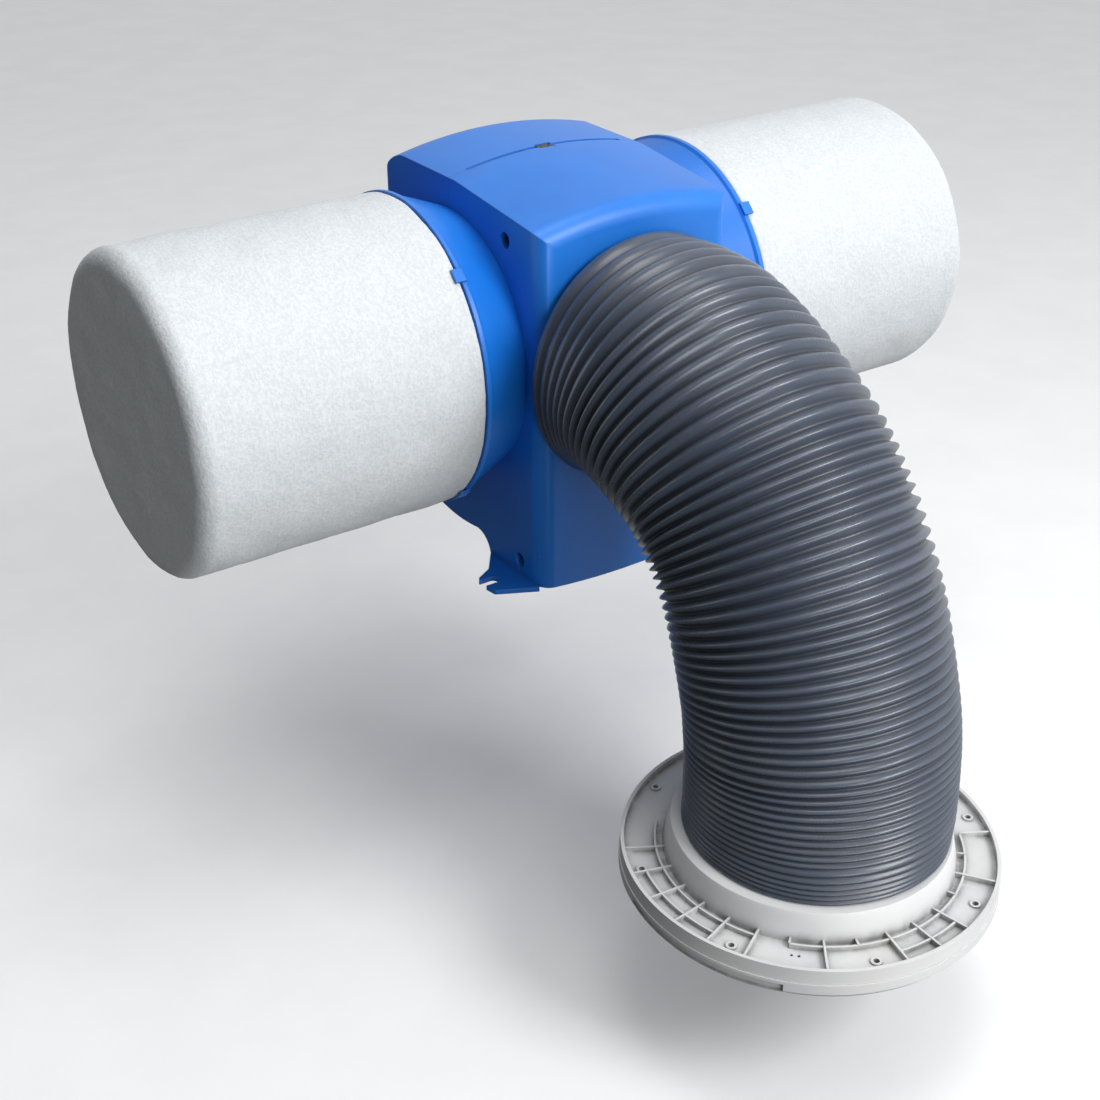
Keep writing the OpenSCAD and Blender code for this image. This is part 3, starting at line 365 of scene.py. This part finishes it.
def moulded(name, base, second, gloss, *, metal=0.0, grain_scale=900.0, height=0.00006, edge=0.0008, worn=None,
            worn_amount=0.4, dust_amount=0.15, tone_scale=9.0, coat=0.0, corner_shade_amount=0.25, reach=0.008):
    """The common recipe. Returns the material, its tree, its shader, and the colour and roughness that feed it."""
    material = bpy.data.materials.new(name)
    material.use_nodes = True
    t = Tree(material.node_tree)
    shader = t.nodes["Principled BSDF"]
    slow = use(t, mottle, Scale=tone_scale).outputs["Value"]
    colour = t.mix(slow, base, second)
    rub = use(t, wear, Radius=edge * 2.2, Amount=worn_amount).outputs["Mask"]
    colour = t.mix(rub, colour, worn or tuple(min(1.0, c * 1.6 + 0.02) for c in base[:3]) + (1.0,))
    film = use(t, dust, Amount=dust_amount).outputs["Mask"]
    colour = t.mix(film, colour, tone(196, 192, 184))
    # Painted shade: corners and recesses are darkened towards a dark copy of the base colour.
    corner_shade_mask = use(t, painted_corner_shade, Distance=reach, Amount=corner_shade_amount).outputs["Mask"]
    colour = t.mix(corner_shade_mask, colour, tuple(c * 0.22 for c in base[:3]) + (1.0,))
    fine = use(t, grain, Scale=grain_scale, Height=height, Edge_radius=edge)
    rough = t.math("ADD", gloss, t.math("MULTIPLY", t.math("SUBTRACT", fine.outputs["Height"], 0.5), 0.16))
    rough = t.math("ADD", rough, t.math("MULTIPLY", slow, 0.06))
    rough = t.math("ADD", rough, t.math("MULTIPLY", film, 0.35), True)
    t.links.new(colour, shader.inputs["Base Color"])
    t.links.new(rough, shader.inputs["Roughness"])
    t.links.new(fine.outputs["Normal"], shader.inputs["Normal"])
    shader.inputs["Metallic"].default_value = metal
    shader.inputs["Coat Weight"].default_value = coat
    shader.inputs["Coat Roughness"].default_value = 0.25
    return material, t, shader, colour, rough


finishes = {}
finishes["blue_plastic"] = moulded("blue moulded plastic", tone(20, 114, 212), tone(28, 122, 220), 0.38,
                                   grain_scale=1400.0, height=0.00003, edge=0.0014, worn=tone(96, 150, 228),
                                   worn_amount=0.35, dust_amount=0.02, coat=0.10, corner_shade_amount=0.5)[0]
finishes["white_plastic"] = moulded("white moulded plastic", tone(218, 218, 217), tone(208, 209, 210), 0.42,
                                    grain_scale=1100.0, height=0.00004, edge=0.0007, worn=tone(238, 238, 236),
                                    worn_amount=0.3, dust_amount=0.12, corner_shade_amount=0.75, reach=0.014)[0]
finishes["grey_plastic"] = moulded("grey moulded plastic", tone(122, 126, 130), tone(112, 116, 122), 0.5)[0]
finishes["black_plastic"] = moulded("black moulded plastic", tone(32, 33, 35), tone(40, 41, 44), 0.42)[0]
finishes["zinc_steel"] = moulded("zinc-plated steel", tone(186, 188, 190), tone(168, 172, 170), 0.3, metal=1.0,
                                 grain_scale=500.0, dust_amount=0.1)[0]
finishes["black_steel"] = moulded("blackened steel", tone(46, 47, 50), tone(38, 38, 42), 0.38, metal=0.9,
                                  worn=tone(130, 130, 132), worn_amount=0.7, dust_amount=0.1)[0]
finishes["motor_shell"] = moulded("pressed motor shell", tone(150, 152, 155), tone(136, 139, 144), 0.34, metal=1.0,
                                  grain_scale=380.0)[0]
finishes["copper_wire"] = moulded("enamelled copper wire", tone(176, 96, 52), tone(160, 80, 40), 0.28, metal=0.9,
                                  grain_scale=260.0, height=0.0004, dust_amount=0.05)[0]
finishes["rubber"] = moulded("rubber", tone(28, 28, 29), tone(34, 34, 34), 0.72, grain_scale=700.0)[0]
finishes["circuit_board"] = moulded("circuit board", tone(22, 84, 52), tone(16, 72, 44), 0.3, grain_scale=220.0,
                                    height=0.0002, dust_amount=0.1)[0]
print("finishes", sorted(finishes))

# %% [markdown]
# ## Wadding
# Bonded polyester wadding is a mat of white fibres crossing at random, so it is matt, slightly furry, and speckled
# where the mat is thin. Stretched noise in several directions stands for the fibres, and a low sheen for the fuzz.

# %% Wadding material
wool = bpy.data.materials.new("filter wadding")
wool.use_nodes = True
t = Tree(wool.node_tree)
shader = t.nodes["Principled BSDF"]
where = t.add("ShaderNodeTexCoord").outputs["Object"]
fibres = None
for turned in ((0.3, 0.9, 0.2), (1.4, 0.2, 1.1), (0.8, 2.1, 0.5)):
    line = t.add("ShaderNodeMapping", Vector=where, Rotation=turned, Scale=(420.0, 60.0, 60.0)).outputs[0]
    strand = t.noise(1.0, 2.0, 0.5, line)
    fibres = strand if fibres is None else t.math("MAXIMUM", fibres, strand)
speck = t.noise(330.0, 3.0, 0.7, where)
cloud = t.noise(70.0, 4.0, 0.6, where)
mat = t.math("ADD", t.math("MULTIPLY", t.fit(speck, 0.40, 0.60), 0.78),
             t.math("MULTIPLY", t.fit(cloud, 0.3, 0.7), 0.22))
colour = t.mix(mat, tone(203, 208, 211), tone(217, 221, 224))
colour = t.mix(t.math("MULTIPLY", t.fit(fibres, 0.62, 0.78), 0.45), colour, tone(228, 231, 233))
film = use(t, dust, Amount=0.05, Scale=20.0).outputs["Mask"]
colour = t.mix(film, colour, tone(190, 188, 184))
height = t.math("ADD", t.math("MULTIPLY", speck, 0.7), t.math("MULTIPLY", fibres, 0.3))
normal = t.add("ShaderNodeBump", Strength=0.75, Distance=0.0012, Height=height).outputs[0]
rough = t.math("ADD", 0.86, t.math("MULTIPLY", mat, 0.1), True)
t.links.new(colour, shader.inputs["Base Color"])
t.links.new(rough, shader.inputs["Roughness"])
t.links.new(normal, shader.inputs["Normal"])
shader.inputs["Sheen Weight"].default_value = 0.18
shader.inputs["Sheen Roughness"].default_value = 0.6
shader.inputs["Specular IOR Level"].default_value = 0.2
finishes["filter_wadding"] = wool

# %% [markdown]
# ## Duct film
# The duct is a tough grey film. Its crests are rubbed a little lighter and smoother than its grooves, which are
# darkened with painted shade and made rougher. The mesh carries a number that is 1 on a crest and 0 in a groove, so
# the material can tell them apart.

# %% Duct material
film_mat, t, shader, colour, rough = moulded("duct film", tone(74, 82, 96), tone(66, 75, 90), 0.28,
                                             grain_scale=650.0, height=0.00005, edge=0.0001, worn_amount=0.0,
                                             dust_amount=0.04, tone_scale=14.0, coat=0.4, corner_shade_amount=0.5, reach=0.004)
crest_at = t.add("ShaderNodeAttribute", {"attribute_name": "crest"}).outputs["Fac"]
along_at = t.add("ShaderNodeAttribute", {"attribute_name": "along"}).outputs["Fac"]
# Painted shade: deep is 1 in a groove; it darkens the colour there and also raises the roughness.
deep = t.fit(crest_at, 0.55, 0.0)
colour = t.mix(t.math("MULTIPLY", deep, 0.55), colour, tone(30, 34, 42))
rubbed = t.math("MULTIPLY", t.fit(crest_at, 0.93, 1.0), t.fit(t.noise(45.0, 5.0, 0.65), 0.42, 0.68))
colour = t.mix(t.math("MULTIPLY", rubbed, 0.22), colour, tone(128, 138, 152))
each = t.add("ShaderNodeTexWhiteNoise", {"noise_dimensions": "1D"},
             W=t.math("FLOOR", t.math("MULTIPLY", along_at, float(RIDGES)))).outputs["Value"]
shade = t.add("ShaderNodeHueSaturation", Value=t.math("ADD", 0.94, t.math("MULTIPLY", each, 0.12)), Color=colour)
t.links.new(shade.outputs[0], shader.inputs["Base Color"])
t.links.new(t.math("ADD", rough, t.math("MULTIPLY", deep, 0.18), True), shader.inputs["Roughness"])
finishes["duct_plastic"] = film_mat

# %% [markdown]
# ## Dress the CAD pieces
# The CAD pieces arrive as plain triangles whose shading is split at every face. Welding the split corners and
# smoothing only across shallow angles keeps curves round and corners crisp. A small geometry-node modifier does the
# second.

# %% Dress the CAD nodes
smooth = bpy.data.node_groups.new("Smooth shallow angles", "GeometryNodeTree")
smooth.interface.new_socket("Geometry", in_out="INPUT", socket_type="NodeSocketGeometry")
smooth.interface.new_socket("Geometry", in_out="OUTPUT", socket_type="NodeSocketGeometry")
g = Tree(smooth)
start = g.nodes.new("NodeGroupInput").outputs[0]
all_smooth = g.add("GeometryNodeSetShadeSmooth", {"domain": "FACE"}, Geometry=start, Shade_Smooth=True).outputs[0]
angle = g.add("GeometryNodeInputMeshEdgeAngle").outputs["Unsigned Angle"]
shallow = g.add("FunctionNodeCompare", {"data_type": "FLOAT", "operation": "LESS_THAN"}, i0=angle,
                i1=math.radians(28))
split = g.add("GeometryNodeSetShadeSmooth", {"domain": "EDGE"}, Geometry=all_smooth,
              Shade_Smooth=shallow.outputs[0])
g.links.new(split.outputs[0], g.nodes.new("NodeGroupOutput").inputs[0])

slot_of = {s["node"]: s["material_slot"] for s in frame["record"]["subparts"]}
for name, obj in nodes.items():
    obj.data.materials.clear()
    obj.data.materials.append(finishes[slot_of[name]])
    weld = obj.modifiers.new("join split corners", "WELD")
    weld.merge_threshold = 0.000002
    shading = obj.modifiers.new("smooth shallow angles", "NODES")
    shading.node_group = smooth
print("dressed", len(nodes))

# %% [markdown]
# ## Place the soft pieces
# Each soft surface stands for one CAD piece. The duct stretches between the fan unit and the diffuser, and each
# filter rides on its own body.

# %% Place the soft pieces
duct.data.materials.append(finishes["duct_plastic"])
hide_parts("flexible_duct")
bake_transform(duct)
for side, sleeve in sleeves.items():
    sleeve.data.materials.append(finishes["filter_wadding"])
    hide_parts(f"{side}_filter_sleeve")
    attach(sleeve, f"{side}_filter")

# %% [markdown]
# ## Studio
# A pale floor lies well below the diffuser. The key light stands in front, to the right and above, with a weaker
# one overhead and a low fill in front. The air glows more towards the right, so the far left end stays in shade. The
# floor is hidden from bounced light, or it would wash out the colours from below.

# %% Floor, lights and camera
FLOOR_Z = -0.235
GLOW_TOWARD = (0.78, -0.10, 0.50)
CAMERA_AT = (-0.834, -1.123, 0.788)
CAMERA_AIM = (-0.0623, 0.0033, 0.0131)
bpy.ops.mesh.primitive_plane_add(size=60, location=(0, 0, FLOOR_Z))
floor = bpy.context.object
floor.name = "studio floor"
floor_mat, _, floor_shader, _, _ = moulded("studio floor", tone(246, 246, 246), tone(243, 243, 244), 0.6,
                                           grain_scale=60.0, height=0.0002, worn_amount=0.0, dust_amount=0.0)
floor.data.materials.append(floor_mat)
floor.visible_diffuse = False
floor.visible_glossy = False


def softbox(name, place, aim, size, power):
    """A square area light at place that faces aim."""
    data = bpy.data.lights.new(name, "AREA")
    data.shape = "SQUARE"
    data.size = size
    data.energy = power
    obj = bpy.data.objects.new(name, data)
    obj.location = place
    obj.rotation_euler = (Vector(aim) - Vector(place)).to_track_quat("-Z", "Y").to_euler()
    bpy.context.scene.collection.objects.link(obj)


softbox("key", (0.7, -2.1, 1.7), (0, -0.1, 0.05), 1.0, 39)
softbox("overhead", (0.1, -0.2, 2.3), (0, -0.1, 0.1), 1.0, 12)
softbox("fill", (-0.35, -2.4, 0.25), (0, -0.1, 0.05), 1.3, 21)

world = bpy.data.worlds.new("studio air")
world.use_nodes = True
t = Tree(world.node_tree)
direction = t.add("ShaderNodeTexCoord").outputs["Generated"]
toward = t.add("ShaderNodeVectorMath", {"operation": "DOT_PRODUCT"}, i0=direction,
               i1=GLOW_TOWARD).outputs["Value"]
strength = t.fit(toward, -0.5, 0.65, 0.09, 0.80)
t.links.new(strength, world.node_tree.nodes["Background"].inputs["Strength"])
world.node_tree.nodes["Background"].inputs["Color"].default_value = (0.97, 0.985, 1.0, 1.0)
bpy.context.scene.world = world
bpy.context.scene.view_settings.view_transform = "Standard"

lens = bpy.data.cameras.new("photo view")
lens.lens = 55.45
lens.sensor_width = 36
camera = bpy.data.objects.new("photo view", lens)
camera.location = CAMERA_AT
look = Vector(CAMERA_AIM) - camera.location
camera.rotation_euler = look.to_track_quat("-Z", "Y").to_euler()
bpy.context.scene.collection.objects.link(camera)
bpy.context.scene.camera = camera
print("floor", FLOOR_Z, "camera", CAMERA_AT, "lens", lens.lens)
